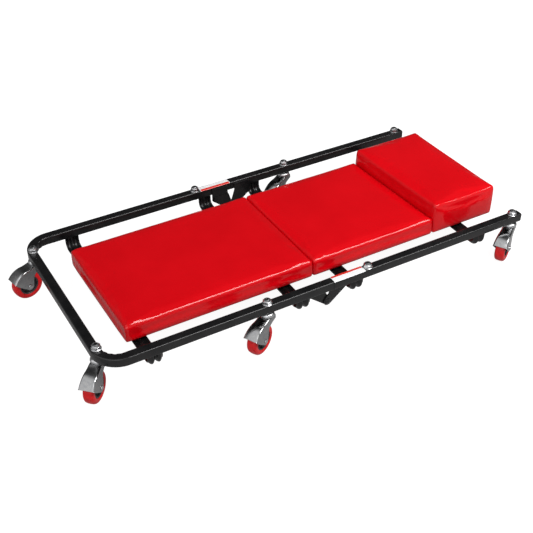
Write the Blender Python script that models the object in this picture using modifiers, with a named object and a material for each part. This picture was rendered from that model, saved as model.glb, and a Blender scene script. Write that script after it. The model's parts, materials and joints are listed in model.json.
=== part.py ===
"""Folding mechanic's creeper: a steel tube frame hinged in the middle, three vinyl pads, six casters.

Units are metres. +X runs towards the headrest, +Z is up, the wheels stand on Z = 0.
Both halves are drawn in the hinge frame, whose X = 0 is the line where the rails butt together.
"""
import bpy
import bmesh
from math import cos, sin, pi, radians
from mathutils import Matrix

# ---- driving dimensions ---------------------------------------------------------------------
MM = 0.001
GAP = 0.3 * MM                      # clearance between touching pieces
HINGE_X = 26.15 * MM                # moves the butt line so that the footprint is centred on X = 0

TUBE = 20 * MM                      # square tube, outer size
TUBE_WALL = 1.5 * MM
TUBE_CORNER = 2.6 * MM
RAIL_Y = 223.8 * MM                 # centre line of each side rail
RAIL_TOP = 105.5 * MM
FOOT_END_X = -508.7 * MM            # outer face of the foot end bar
HEAD_END_X = 504.0 * MM             # cut end of the head rails
BEND_R = 48 * MM                    # centre line radius of the two foot corners

PAD_HALF_W = 150.4 * MM
PAD_BOTTOM = 63.0 * MM              # the covers reach down over the edge of the boards
PAD_TOP = 104.0 * MM
HEADREST_TOP = 137.0 * MM
FOOT_PAD_X = (-426.5 * MM, 3.5 * MM)
BACK_PAD_X = (4.5 * MM, 321.5 * MM)
HEADREST_X = (322.1 * MM, 496.5 * MM)
PAD_EDGE = 7 * MM
BOARD_INSET = 12 * MM
BOARD_BOTTOM = 60.3 * MM
BOARD_TOP = 70.4 * MM

BAR_TOP = 60.0 * MM                 # web of the pressed crossbars
BAR_W = 31 * MM
BAR_SHEET = 2.2 * MM
BAR_RIB = 6.0 * MM                  # depth of the two pressed ribs
BAR_RIB_PITCH = 15 * MM
BAR_END_Y = 220.5 * MM
BAR_BEND_R = 13 * MM
BAR_NEAR_HINGE = 66 * MM            # crossbar centres, both sides of the hinge
BAR_FAR_FROM_HINGE = 397 * MM

PIVOT_Z = 42 * MM
LEAF_SHEET = 2.6 * MM
LEAF_FACE_Y = RAIL_Y - TUBE / 2 - GAP
PIN_R = 4 * MM

WHEEL_R = 33.5 * MM
TYRE_W = 23 * MM
TRAIL = 27.6 * MM
CUP_R = 15 * MM
CUP_BOTTOM = 77.5 * MM
STEM_R = 5 * MM
STEM_TOP = 117 * MM
FORK_HALF_W = 15.6 * MM
FORK_NECK_HALF_W = 12.4 * MM        # at the front of the neck
FORK_TAIL_HALF_W = 17.2 * MM        # where the hood flares behind the wheel
FORK_SHEET = 2.0 * MM
FORK_SHOULDER = 4.2 * MM            # bend between the hood and each cheek
HOOD_R = 39.4 * MM
AXLE_R = 4 * MM
NUT_R = 9.8 * MM

FOOT_CASTER = (-496.3 * MM, 179.2 * MM)
HEAD_CASTER_X = 485 * MM
MID_CASTER_X = 152.5 * MM
PLATE_BOLT_X = 89.5 * MM
LABEL_X = (1.2 * MM, 78.5 * MM)
LABEL_HALF_W = 7 * MM
LABEL_THICK = 0.5 * MM

# name: (body, x, y, direction in which the wheel trails behind its stem)
CASTERS = {
    "foot_near": ("foot", FOOT_CASTER[0], -FOOT_CASTER[1], 225.3),
    "foot_far": ("foot", FOOT_CASTER[0], FOOT_CASTER[1], 192.5),
    "mid_near": ("foot", -MID_CASTER_X, -RAIL_Y, 206.7),
    "mid_far": ("head", MID_CASTER_X, RAIL_Y, 205.0),
    "head_near": ("head", HEAD_CASTER_X, -RAIL_Y, 211.3),
    "head_far": ("head", HEAD_CASTER_X, RAIL_Y, 148.7),
}
ROUND = 16                          # steps around the wheels

# ---- scene set-up ---------------------------------------------------------------------------
for leftover in list(bpy.data.objects):
    bpy.data.objects.remove(leftover)
PARTS = bpy.data.collections.new("mechanics_creeper")
CUTTERS = bpy.data.collections.new("cutters")
bpy.context.scene.collection.children.link(PARTS)
bpy.context.scene.collection.children.link(CUTTERS)


def material(name, colour, metallic, roughness):
    finish = bpy.data.materials.new(name)
    finish.use_nodes = True
    shader = finish.node_tree.nodes["Principled BSDF"]
    shader.inputs["Base Color"].default_value = (*colour, 1)
    shader.inputs["Metallic"].default_value = metallic
    shader.inputs["Roughness"].default_value = roughness
    finish.diffuse_color = (*colour, 1)
    return finish


BLACK = material("gloss_black_paint", (0.012, 0.012, 0.013), 0.0, 0.22)
ZINC = material("bright_zinc", (0.75, 0.76, 0.78), 1.0, 0.22)
VINYL = material("red_vinyl", (0.74, 0.006, 0.012), 0.0, 0.38)
TYRE_RED = material("red_polyurethane", (0.75, 0.025, 0.02), 0.0, 0.35)
HUB_GREY = material("dark_hub", (0.03, 0.03, 0.032), 0.0, 0.5)
PLYWOOD = material("plywood", (0.42, 0.27, 0.14), 0.0, 0.7)
LABEL = material("white_label", (0.85, 0.85, 0.86), 0.0, 0.35)
PLUG_BLACK = material("plug_plastic", (0.02, 0.02, 0.02), 0.0, 0.55)


# ---- shape helpers: each returns a finished mesh and leaves no object behind ------------------
def baked(obj, turn=None):
    """The object's evaluated mesh, welded, with its transform applied."""
    bpy.context.view_layer.update()
    solid = obj.evaluated_get(bpy.context.evaluated_depsgraph_get())
    mesh = bpy.data.meshes.new_from_object(solid)
    mesh.transform((turn or Matrix()) @ obj.matrix_world)
    bpy.data.objects.remove(obj)
    form = bmesh.new()
    form.from_mesh(mesh)
    bmesh.ops.remove_doubles(form, verts=form.verts, dist=1e-6)
    bmesh.ops.recalc_face_normals(form, faces=form.faces)
    form.to_mesh(mesh)
    form.free()
    return mesh


def temporary(name, data):
    obj = bpy.data.objects.new(name, data)
    CUTTERS.objects.link(obj)
    obj.hide_render = True
    obj.display_type = "WIRE"
    return obj


def bevelled(obj, width, segments=2, angle=35):
    bevel = obj.modifiers.new("bevel", "BEVEL")
    bevel.width = width
    bevel.segments = segments
    bevel.limit_method = "ANGLE"
    bevel.angle_limit = radians(angle)
    return obj


def box(low, high, edge=0.0, segments=2):
    form = bmesh.new()
    bmesh.ops.create_cube(form, size=1)
    size = [high[i] - low[i] for i in range(3)]
    middle = [(high[i] + low[i]) / 2 for i in range(3)]
    bmesh.ops.scale(form, vec=size, verts=form.verts)
    bmesh.ops.translate(form, vec=middle, verts=form.verts)
    mesh = bpy.data.meshes.new("box")
    form.to_mesh(mesh)
    form.free()
    obj = temporary("box", mesh)
    if edge:
        bevelled(obj, edge, segments)
    return baked(obj)


def rod(radius, bottom, top, sides=12):
    """A cylinder or prism that stands on the Z axis."""
    form = bmesh.new()
    bmesh.ops.create_cone(form, cap_ends=True, segments=sides, radius1=radius, radius2=radius,
                          depth=top - bottom)
    bmesh.ops.translate(form, vec=(0, 0, (top + bottom) / 2), verts=form.verts)
    mesh = bpy.data.meshes.new("rod")
    form.to_mesh(mesh)
    form.free()
    return mesh


def turned(profile, steps=ROUND, turn=None):
    """A profile of (radius, height) points, from the top down, turned about the Z axis."""
    mesh = bpy.data.meshes.new("profile")
    mesh.from_pydata([(radius, 0, height) for radius, height in profile],
                     [(i, i + 1) for i in range(len(profile) - 1)], [])
    obj = temporary("turned", mesh)
    screw = obj.modifiers.new("screw", "SCREW")
    screw.steps = steps
    screw.render_steps = steps
    screw.use_merge_vertices = True
    screw.merge_threshold = 0.00001
    return baked(obj, turn)


def mirrored_ring(upper):
    """A closed ring profile from its upper half, whose points run outwards from the bore."""
    return upper + [(radius, -height) for radius, height in reversed(upper)] + upper[:1]


def skinned(loops):
    """A closed body through equal loops of points, capped at both ends."""
    count = len(loops[0])
    form = bmesh.new()
    rows = [[form.verts.new(point) for point in loop] for loop in loops]
    for one, other in zip(rows, rows[1:]):
        for i in range(count):
            j = (i + 1) % count
            form.faces.new((one[i], one[j], other[j], other[i]))
    form.faces.new(rows[0])
    form.faces.new(rows[-1])
    mesh = bpy.data.meshes.new("skin")
    form.to_mesh(mesh)
    form.free()
    return baked(temporary("skin", mesh))


def flat_curve(name, points, closed):
    curve = bpy.data.curves.new(name, "CURVE")
    curve.dimensions = "2D"
    spline = curve.splines.new("POLY")
    spline.points.add(len(points) - 1)
    for knot, (x, y) in zip(spline.points, points):
        knot.co = (x, y, 0, 1)
    spline.use_cyclic_u = closed
    return curve


def plate(outline, low, high, turn, edge=0.0):
    """A flat outline given thickness from low to high along its normal, then turned into place."""
    curve = flat_curve("outline", outline, True)
    curve.fill_mode = "BOTH"
    curve.extrude = (high - low) / 2
    mesh = baked(temporary("plate", curve), turn @ Matrix.Translation((0, 0, (high + low) / 2)))
    if edge:
        mesh = baked(bevelled(temporary("plate", mesh), edge, 1))
    return mesh


def swept(path, section, turn=None):
    """A closed section carried along a flat path, with closed ends."""
    rail = flat_curve("path", path, False)
    profile = temporary("section", flat_curve("section", section, True))
    rail.bevel_mode = "OBJECT"
    rail.bevel_object = profile
    rail.use_fill_caps = True
    mesh = baked(temporary("sweep", rail), turn)
    bpy.data.objects.remove(profile)
    return mesh


def combined(mesh, others, operation):
    """Cuts or joins the other meshes, one after the other."""
    obj = temporary("work", mesh)
    for other in others:
        tool = temporary("tool", other)
        step = obj.modifiers.new(operation.lower(), "BOOLEAN")
        step.operation = operation
        step.object = tool
    mesh = baked(obj)
    for tool in [o for o in CUTTERS.objects if o.name.startswith("tool")]:
        bpy.data.objects.remove(tool)
    return mesh


def cut(mesh, *tools):
    return combined(mesh, tools, "DIFFERENCE")


def joined(mesh, *others):
    return combined(mesh, others, "UNION")


def moved(mesh, x=0.0, y=0.0, z=0.0):
    copy = mesh.copy()
    copy.transform(Matrix.Translation((x, y, z)))
    return copy


def arc(centre, radius, start, end, steps):
    turn = [radians(start + (end - start) * i / steps) for i in range(steps + 1)]
    return [(centre[0] + radius * cos(a), centre[1] + radius * sin(a)) for a in turn]


STAND_UP = Matrix.Rotation(pi / 2, 4, "X")                  # outline's x, y become X, Z


def at_side(side):
    """Turns an outline upright, its normal pointing to the given side (+1 far, -1 near)."""
    if side < 0:
        return STAND_UP
    return Matrix.Scale(-1, 4, (0, 1, 0)) @ STAND_UP


# ---- placing ----------------------------------------------------------------------------------
def empty(name, location, parent=None):
    marker = bpy.data.objects.new(name, None)
    PARTS.objects.link(marker)
    marker.location = location
    marker.parent = parent
    return marker


FOOT_HALF = empty("foot_half", (HINGE_X, 0, 0))
FOLD_AXIS = empty("fold_axis", (HINGE_X, 0, PIVOT_Z))
HEAD_HALF = empty("head_half", (0, 0, -PIVOT_Z), FOLD_AXIS)
HALVES = {"foot": FOOT_HALF, "head": HEAD_HALF}
# +X of the hinge frame points to the head half; the foot half is its mirror image in most pieces
TOWARDS = {"foot": -1, "head": 1}
SIDES = (("near", -1), ("far", 1))


def place(name, mesh, finish, parent, location=(0, 0, 0)):
    mesh.name = name
    mesh.materials.clear()
    mesh.materials.append(finish)
    mesh.shade_smooth()
    mesh.set_sharp_from_angle(angle=radians(35))
    obj = bpy.data.objects.new(name, mesh)
    PARTS.objects.link(obj)
    obj.parent = parent
    obj.location = location
    return obj


# ---- frame ------------------------------------------------------------------------------------
def tube_section(half, corner):
    return [point for quarter, (sx, sy) in enumerate(((1, 1), (-1, 1), (-1, -1), (1, -1)))
            for point in arc((sx * (half - corner), sy * (half - corner)), corner,
                             90 * quarter, 90 * quarter + 90, 2)]


def tube(path, past_ends):
    """Square tube along a flat path; past_ends is the path of its inside, run out at both ends."""
    lift = Matrix.Translation((0, 0, RAIL_TOP - TUBE / 2))
    outside = swept(path, tube_section(TUBE / 2, TUBE_CORNER), lift)
    inside = swept(past_ends, tube_section(TUBE / 2 - TUBE_WALL, TUBE_CORNER - TUBE_WALL), lift)
    return cut(outside, inside)


def stem_hole(x, y):
    return moved(rod(STEM_R + GAP, RAIL_TOP - 1.5 * TUBE, RAIL_TOP + TUBE / 2, 12), x, y)


def caster_holes(body, side=None):
    return [stem_hole(x, y) for half, x, y, _ in CASTERS.values()
            if half == body and (side is None or y * side > 0)]


def foot_tube():
    end_x = FOOT_END_X + TUBE / 2

    def path(open_x):
        far = arc((end_x + BEND_R, RAIL_Y - BEND_R), BEND_R, 90, 180, 7)
        near = arc((end_x + BEND_R, -RAIL_Y + BEND_R), BEND_R, 180, 270, 7)
        return [(open_x, RAIL_Y)] + far + near + [(open_x, -RAIL_Y)]

    mesh = tube(path(-GAP), path(TUBE))
    return cut(mesh, *caster_holes("foot"), stem_hole(-PLATE_BOLT_X, RAIL_Y))


def head_rail(side):
    mesh = tube([(GAP, side * RAIL_Y), (HEAD_END_X, side * RAIL_Y)],
                [(-TUBE, side * RAIL_Y), (HEAD_END_X + TUBE, side * RAIL_Y)])
    holes = caster_holes("head", side)
    if side < 0:
        holes.append(stem_hole(PLATE_BOLT_X, side * RAIL_Y))
    return cut(mesh, *holes)


def crossbar_section():
    """Flat strip with two round ribs pressed downwards, as a closed outline of even thickness."""
    def line(height, rib_half_w):
        points = [(-BAR_W / 2, height)]
        for middle in (-BAR_RIB_PITCH / 2, BAR_RIB_PITCH / 2):
            points += [(middle + rib_half_w * cos(radians(angle)), height + BAR_RIB * sin(radians(angle)))
                       for angle in range(180, 361, 45)]
        return points + [(BAR_W / 2, height)]

    top = line(0, BAR_RIB - BAR_SHEET / 3)
    bottom = line(-BAR_SHEET, BAR_RIB + BAR_SHEET / 3)
    return top + bottom[::-1]


def crossbar():
    """Pressed crossbar: a ribbed web whose two ends bend up to the underside of the rails."""
    end_top = RAIL_TOP - TUBE - GAP
    flat_y = BAR_END_Y - BAR_BEND_R
    bend_z = BAR_TOP + BAR_BEND_R
    path = [(-BAR_END_Y, end_top)] + arc((-flat_y, bend_z), BAR_BEND_R, 180, 270, 4)
    path += arc((flat_y, bend_z), BAR_BEND_R, 270, 360, 4) + [(BAR_END_Y, end_top)]
    section = [(-y, x) for x, y in crossbar_section()]
    turn = Matrix(((0, 0, 1, 0), (1, 0, 0, 0), (0, 1, 0, 0), (0, 0, 0, 1)))
    return swept(path, section, turn)


def hinge_leaf(half, side):
    """Plate welded inside a rail, with an ear that reaches down to the pivot.

    The foot half's ear is set inwards by one sheet, so that the two ears overlap on the pin.
    """
    way = TOWARDS[half]
    eye = 9.5 * MM

    def mirrored(points):
        return [(way * x, z) for x, z in points]

    pad = mirrored([(50 * MM, 70 * MM), (50 * MM, 101 * MM), (8.5 * MM, 101 * MM),
                    (9.5 * MM, 86 * MM), (6 * MM, 72 * MM), (6 * MM, 66 * MM), (46 * MM, 66 * MM)])
    ear = mirrored([(48 * MM, 69 * MM)] + arc((0, PIVOT_Z), eye, -45, -225, 8)
                   + [(-2 * MM, 56 * MM), (2 * MM, 60 * MM), (8 * MM, 80 * MM), (46 * MM, 80 * MM)])
    step = mirrored([(43 * MM, 68.5 * MM), (43 * MM, 78 * MM), (14 * MM, 78 * MM),
                     (14 * MM, 68.5 * MM)])
    turn = at_side(side)
    front, back = LEAF_FACE_Y, LEAF_FACE_Y - LEAF_SHEET
    shift = (LEAF_SHEET + GAP) if half == "foot" else 0.0
    leaf = joined(plate(pad, back, front, turn), plate(ear, back - shift, front - shift, turn),
                  plate(step, back - shift, front, turn))
    bore = plate(arc((0, PIVOT_Z), PIN_R + GAP, 0, 337.5, 15), back - TUBE, front + TUBE, turn)
    return cut(leaf, bore)


def hinge_pin(side):
    """Rivet through both ears, headed at each end."""
    inner = LEAF_FACE_Y - 2 * LEAF_SHEET - 2 * GAP
    outer = LEAF_FACE_Y + GAP
    head = 7 * MM
    thick = 2.4 * MM
    profile = [(0, outer + thick), (head - 1.5 * MM, outer + thick), (head, outer + thick / 2),
               (head, outer), (PIN_R, outer), (PIN_R, inner), (head, inner),
               (head, inner - thick / 2), (head - 1.5 * MM, inner - thick), (0, inner - thick)]
    return moved(turned(profile, 16, at_side(side)), 0, 0, PIVOT_Z)


def end_plug(side):
    """Plastic plug: a button against the cut end of a head rail, with a stub inside it."""
    face = HEAD_END_X + GAP
    rim = TUBE / 2 - 0.3 * MM
    stub = TUBE / 2 - TUBE_WALL - 2 * GAP
    middle = RAIL_TOP - TUBE / 2
    cap = box((face, -rim, middle - rim), (face + 3.2 * MM, rim, middle + rim), 1.4 * MM)
    inside = box((face - 14 * MM, -stub, middle - stub), (face + MM, stub, middle + stub))
    return moved(joined(cap, inside), 0, side * RAIL_Y)


# ---- pads ---------------------------------------------------------------------------------------
def board(ends, grown=0.0):
    """Backing board under the pads that lie between two ends, or a slightly larger one to cut with."""
    half = PAD_HALF_W - BOARD_INSET + grown
    bottom = BOARD_BOTTOM - (TUBE if grown else 0)      # a cutter runs out through the underside
    return box((min(ends) + BOARD_INSET - grown, -half, bottom),
               (max(ends) - BOARD_INSET + grown, half, BOARD_TOP + grown))


def pad(span, top, ends):
    """A cushion with the board let into its underside."""
    block = box((span[0], -PAD_HALF_W, PAD_BOTTOM), (span[1], PAD_HALF_W, top), PAD_EDGE, 3)
    return cut(block, board(ends, GAP))


# ---- casters and fasteners ------------------------------------------------------------------------
def nut_bodies():
    """Flat washer, hexagon and the round collar that holds the nylon ring."""
    seat = RAIL_TOP + GAP
    return (rod(10.6 * MM, seat, seat + 1.6 * MM, 12),
            rod(NUT_R, seat + 1.0 * MM, seat + 7.4 * MM, 6),
            rod(7.2 * MM, seat + 6 * MM, seat + 9.6 * MM, 10))


def lock_nut():
    bore = rod(STEM_R + GAP, RAIL_TOP - MM, RAIL_TOP + TUBE, 12)
    return cut(joined(*nut_bodies()), bore)


def plate_bolt():
    """Round-headed bolt up through a rail, with its washer and nut run down on top."""
    under = RAIL_TOP - TUBE - GAP
    bolt = turned([(0, STEM_TOP), (STEM_R - MM, STEM_TOP), (STEM_R, STEM_TOP - MM),
                   (STEM_R, under), (7.2 * MM, under), (6.6 * MM, under - 2 * MM),
                   (4 * MM, under - 3.4 * MM), (0, under - 3.6 * MM)], 12)
    return joined(bolt, *nut_bodies())


def caster_stem():
    """Threaded stem, upper ball race and the rivet that carries the fork, as one fixed piece."""
    seat = RAIL_TOP - TUBE - GAP
    head_top = CUP_BOTTOM - 2 * GAP - FORK_SHEET - GAP
    return turned([(0, STEM_TOP), (STEM_R - MM, STEM_TOP), (STEM_R, STEM_TOP - MM),
                   (STEM_R, seat), (CUP_R - 2 * MM, seat), (CUP_R, seat - 2 * MM),
                   (CUP_R, CUP_BOTTOM), (4 * MM, CUP_BOTTOM), (4 * MM, head_top),
                   (7 * MM, head_top), (6 * MM, head_top - 2.4 * MM), (0, head_top - 2.8 * MM)], 12)


def fork_section(hood, foot, half_hood, half_foot):
    """One slice of the folded sheet: from one cheek's lower end, over the hood, to the other's."""
    across = (foot[0] - hood[0], foot[1] - hood[1])
    depth = (across[0] ** 2 + across[1] ** 2) ** 0.5
    down = (across[0] / depth, across[1] / depth)

    def skin_side(inset):
        radius = min(FORK_SHOULDER, 0.8 * depth) - inset * 0.8
        lift = min(inset, 0.5 * depth)
        bend = arc((half_hood - inset - radius, lift + radius), radius, 0, -90, 3)
        side = [(half_foot - inset, depth)] + bend
        return side + [(-y, drop) for y, drop in reversed(side)]

    outline = skin_side(0.0) + skin_side(FORK_SHEET)[::-1]
    return [(hood[0] + down[0] * drop, y, hood[1] + down[1] * drop) for y, drop in outline]


def fork():
    """Pressed fork: narrow neck, hood that flares over the back of the wheel, cheeks down to the axle."""
    top = CUP_BOTTOM - GAP
    axle = (TRAIL, WHEEL_R)
    neck = [((-12.6 * MM, top - 0.6 * MM), (-12.6 * MM, 66.5 * MM)), ((-6 * MM, top), (-6 * MM, 65.2 * MM)),
            ((6 * MM, top), (4 * MM, 61.8 * MM)), ((13 * MM, top - 0.7 * MM), (11.4 * MM, 57 * MM)),
            ((19.5 * MM, top - 2.8 * MM), (15.8 * MM, 50 * MM))]
    hood = arc(axle, HOOD_R, 90, 48, 5)
    boss = arc(axle, 8.8 * MM, 176, 322, 5)
    tail = list(zip(arc(axle, HOOD_R, 39, 30, 1), [(47 * MM, 38.5 * MM), (60 * MM, 50.2 * MM)]))
    rows = neck + list(zip(hood, boss)) + tail
    loops = []
    for i, (upper, lower) in enumerate(rows):
        along = i / (len(rows) - 1)
        half = FORK_NECK_HALF_W + (FORK_TAIL_HALF_W - FORK_NECK_HALF_W) * along
        beside_axle = len(neck) <= i < len(rows) - len(tail)
        loops.append(fork_section(upper, lower, half, FORK_HALF_W if beside_axle else half))
    body = skinned(loops)
    rivet_hole = rod(4 * MM + GAP, top - TUBE, top + TUBE, 12)
    axle_hole = plate(arc(axle, AXLE_R + GAP, 0, 330, 11), -TUBE, TUBE, STAND_UP)
    return cut(body, rivet_hole, axle_hole)


AXLE_UP = Matrix.Rotation(pi / 2, 4, "X")


def axle_bolt():
    """Axle rivet with a low domed head outside each cheek."""
    out = FORK_HALF_W + GAP
    dome = [(0, out + 2.4 * MM), (2.6 * MM, out + 2 * MM), (4.6 * MM, out + 1 * MM), (5.2 * MM, out),
            (AXLE_R, out)]
    return turned(dome + [(radius, -height) for radius, height in reversed(dome)], 12, AXLE_UP)


def hub():
    """Dark wheel centre: bored boss, thin web and the rim that carries the tyre."""
    half = TYRE_W / 2 + MM
    rim = 21.5 * MM
    bore = AXLE_R + GAP
    upper = [(bore, half), (9 * MM, half), (9 * MM, 5 * MM), (18 * MM, 4.5 * MM),
             (18.5 * MM, half - 2 * MM), (rim, half - 2 * MM)]
    return turned(mirrored_ring(upper), ROUND, AXLE_UP)


def tyre():
    half = TYRE_W / 2
    upper = [(21.5 * MM + GAP, half - MM), (24 * MM, half), (WHEEL_R - 3.6 * MM, half),
             (WHEEL_R - 0.9 * MM, half - 2.4 * MM), (WHEEL_R, half - 6 * MM)]
    return turned(mirrored_ring(upper), ROUND, AXLE_UP)


# ---- assembly -------------------------------------------------------------------------------------
def build_half(half, pad_ends):
    """Pieces that both halves have, mirrored about the hinge."""
    parent = HALVES[half]
    way = TOWARDS[half]
    for where, x in (("hinge", BAR_NEAR_HINGE), ("end", BAR_FAR_FROM_HINGE)):
        place(f"{half}_crossbar_{where}", moved(CROSSBAR, way * x), BLACK, parent)
    for label, side in SIDES:
        place(f"{half}_hinge_leaf_{label}", hinge_leaf(half, side), BLACK, parent)
    place(f"{half}_board", board(pad_ends), PLYWOOD, parent)
    bolt_y = -way * RAIL_Y
    place(f"{half}_plate_bolt", moved(PLATE_BOLT, way * PLATE_BOLT_X, bolt_y), ZINC, parent)
    low, high = sorted(way * x for x in LABEL_X)
    top = RAIL_TOP + GAP
    strip = box((low, bolt_y - LABEL_HALF_W, top), (high, bolt_y + LABEL_HALF_W, top + LABEL_THICK))
    place(f"{half}_label_strip", strip, LABEL, parent)


def build_caster(name, body, x, y, heading):
    """Fixed stem, then a swivelling empty with the fork, and the wheel on its axle."""
    place(f"{name}_caster_stem", STEM.copy(), ZINC, HALVES[body], (x, y, 0))
    place(f"{name}_lock_nut", LOCK_NUT.copy(), ZINC, HALVES[body], (x, y, 0))
    swivel = empty(f"{name}_swivel", (x, y, 0), HALVES[body])
    swivel.rotation_euler.z = radians(heading)
    place(f"{name}_fork", FORK.copy(), ZINC, swivel)
    place(f"{name}_axle_bolt", AXLE.copy(), ZINC, swivel, (TRAIL, 0, WHEEL_R))
    place(f"{name}_hub", HUB.copy(), HUB_GREY, swivel, (TRAIL, 0, WHEEL_R))
    place(f"{name}_tyre", TYRE.copy(), TYRE_RED, swivel, (TRAIL, 0, WHEEL_R))


CROSSBAR = crossbar()
LOCK_NUT = lock_nut()
PLATE_BOLT = plate_bolt()
STEM = caster_stem()
FORK = fork()
AXLE = axle_bolt()
HUB = hub()
TYRE = tyre()

place("foot_frame_tube", foot_tube(), BLACK, FOOT_HALF)
for label, side in SIDES:
    place(f"head_rail_{label}", head_rail(side), BLACK, HEAD_HALF)
    place(f"rail_end_plug_{label}", end_plug(side), PLUG_BLACK, HEAD_HALF)
    place(f"hinge_pin_{label}", hinge_pin(side), BLACK, FOOT_HALF)
HEAD_PADS = BACK_PAD_X + HEADREST_X
place("foot_cushion", pad(FOOT_PAD_X, PAD_TOP, FOOT_PAD_X), VINYL, FOOT_HALF)
place("back_cushion", pad(BACK_PAD_X, PAD_TOP, HEAD_PADS), VINYL, HEAD_HALF)
place("headrest_cushion", pad(HEADREST_X, HEADREST_TOP, HEAD_PADS), VINYL, HEAD_HALF)
build_half("foot", FOOT_PAD_X)
build_half("head", HEAD_PADS)
for name, (body, x, y, heading) in CASTERS.items():
    build_caster(name, body, x, y, heading)
for scrap in list(CUTTERS.objects):
    bpy.data.objects.remove(scrap)
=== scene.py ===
"""Looks of the folding mechanic's creeper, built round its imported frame.

Metres, +X towards the headrest, +Z up. Places and sizes come from the frame's nodes and joints.
"""
import json
from math import atan2, cos, pi, radians, sin

import bmesh
import bpy
from mathutils import Matrix, Vector, noise


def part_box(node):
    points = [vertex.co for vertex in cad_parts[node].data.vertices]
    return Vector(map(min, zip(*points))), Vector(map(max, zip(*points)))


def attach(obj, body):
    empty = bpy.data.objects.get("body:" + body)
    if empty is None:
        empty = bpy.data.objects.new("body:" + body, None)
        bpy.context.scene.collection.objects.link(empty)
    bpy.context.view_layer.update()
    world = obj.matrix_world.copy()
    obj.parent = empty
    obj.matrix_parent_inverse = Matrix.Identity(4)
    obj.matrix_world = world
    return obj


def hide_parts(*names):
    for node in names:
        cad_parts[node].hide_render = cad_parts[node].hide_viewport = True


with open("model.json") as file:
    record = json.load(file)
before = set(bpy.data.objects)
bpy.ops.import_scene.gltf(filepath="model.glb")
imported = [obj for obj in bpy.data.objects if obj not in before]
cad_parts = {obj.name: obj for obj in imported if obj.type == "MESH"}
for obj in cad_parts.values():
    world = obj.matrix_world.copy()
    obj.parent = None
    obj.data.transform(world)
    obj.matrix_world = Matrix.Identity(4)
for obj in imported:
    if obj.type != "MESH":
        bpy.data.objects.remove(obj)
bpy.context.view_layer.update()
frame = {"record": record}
RECORD = frame["record"]
BODY_OF = {node: body for body, nodes in RECORD["behaviour"]["bodies"].items() for node in nodes}
JOINT = {joint["name"]: joint for joint in RECORD["behaviour"]["joints"]}

MM = 0.001
UP = Vector((0, 0, 1))
ALONG = Vector((1, 0, 0))

# ---- camera, lights and floor -----------------------------------------------------------------
CAMERA_AT = (-0.8487, -1.4700, 1.2740)
CAMERA_TURN = (53.21, 0, -30.04)
CAMERA_LENS = 63.13
FLOOR_SIZE = 14
FLOOR_GLOW_SEEN = 0.92             # towards the camera, so that the floor shows white
FLOOR_GLOW_THROWN = 0.12           # towards the object


def stage():
    camera = bpy.data.objects.new("camera", bpy.data.cameras.new("camera"))
    bpy.context.scene.collection.objects.link(camera)
    camera.location = CAMERA_AT
    camera.rotation_euler = [radians(angle) for angle in CAMERA_TURN]
    camera.data.lens = CAMERA_LENS
    camera.data.sensor_width = 36
    bpy.context.scene.camera = camera
    bpy.context.scene.view_settings.view_transform = "Standard"

    bpy.ops.mesh.primitive_plane_add(size=FLOOR_SIZE)
    floor = bpy.context.object
    floor.name = "floor"
    finish, nodes, links, shader = plain("floor_white", (0.28, 0.28, 0.28), 0.9)
    shader.inputs["Specular IOR Level"].default_value = 0.0
    shader.inputs["Emission Color"].default_value = (1, 1, 1, 1)
    ray = nodes.new("ShaderNodeLightPath")
    glow = nodes.new("ShaderNodeMapRange")
    glow.inputs["To Min"].default_value = FLOOR_GLOW_THROWN
    glow.inputs["To Max"].default_value = FLOOR_GLOW_SEEN
    links.new(ray.outputs["Is Camera Ray"], glow.inputs["Value"])
    links.new(glow.outputs["Result"], shader.inputs["Emission Strength"])
    floor.data.materials.append(finish)

    # name, place, aim, length, width, power; the first lights nearly everything and draws the pads' edges
    boxes = (("softbox", (1.15, -1.35, 2.35), (1.15, 0, 0.1), 2.1, 0.75, 72),
             ("fill", (-1.3, -1.9, 2.4), (0, 0, 0), 1.2, 1.2, 7))
    for name, place, aim, length, width, power in boxes:
        lamp = bpy.data.lights.new(name, "AREA")
        lamp.shape = "RECTANGLE"
        lamp.size = length
        lamp.size_y = width
        lamp.energy = power
        light = bpy.data.objects.new(name, lamp)
        bpy.context.scene.collection.objects.link(light)
        light.location = place
        light.rotation_euler = (Vector(place) - Vector(aim)).to_track_quat("Z", "Y").to_euler()

    world = bpy.data.worlds.new("studio")
    bpy.context.scene.world = world
    world.use_nodes = True
    nodes, links = world.node_tree.nodes, world.node_tree.links
    where = nodes.new("ShaderNodeTexCoord")
    parts = nodes.new("ShaderNodeSeparateXYZ")
    links.new(where.outputs["Generated"], parts.inputs["Vector"])
    # bright on the left but not at its far end, dim on the right and behind, some light from the front
    shares = []
    for axis, start, end, low, high in (("X", -0.02, -0.42, 0.05, 0.95), ("Y", 0.62, 0.36, 0.12, 1.0),
                                        ("Y", -0.25, -0.85, 0.05, 0.45)):
        share_of = nodes.new("ShaderNodeMapRange")
        share_of.interpolation_type = "SMOOTHSTEP"
        share_of.inputs["From Min"].default_value = start
        share_of.inputs["From Max"].default_value = end
        share_of.inputs["To Min"].default_value = low
        share_of.inputs["To Max"].default_value = high
        links.new(parts.outputs[axis], share_of.inputs["Value"])
        shares.append(share_of.outputs["Result"])
    total = nodes.new("ShaderNodeMath")
    total.operation = "MULTIPLY_ADD"
    for share, value in zip(shares, total.inputs):
        links.new(share, value)
    links.new(total.outputs["Value"], nodes["Background"].inputs["Strength"])
    nodes["Background"].inputs["Color"].default_value = (1, 1, 1, 1)


# ---- materials --------------------------------------------------------------------------------
def plain(name, colour, roughness, metallic=0.0):
    finish = bpy.data.materials.new(name)
    finish.use_nodes = True
    shader = finish.node_tree.nodes["Principled BSDF"]
    shader.inputs["Base Color"].default_value = (*colour, 1)
    shader.inputs["Roughness"].default_value = roughness
    shader.inputs["Metallic"].default_value = metallic
    return finish, finish.node_tree.nodes, finish.node_tree.links, shader


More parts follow.
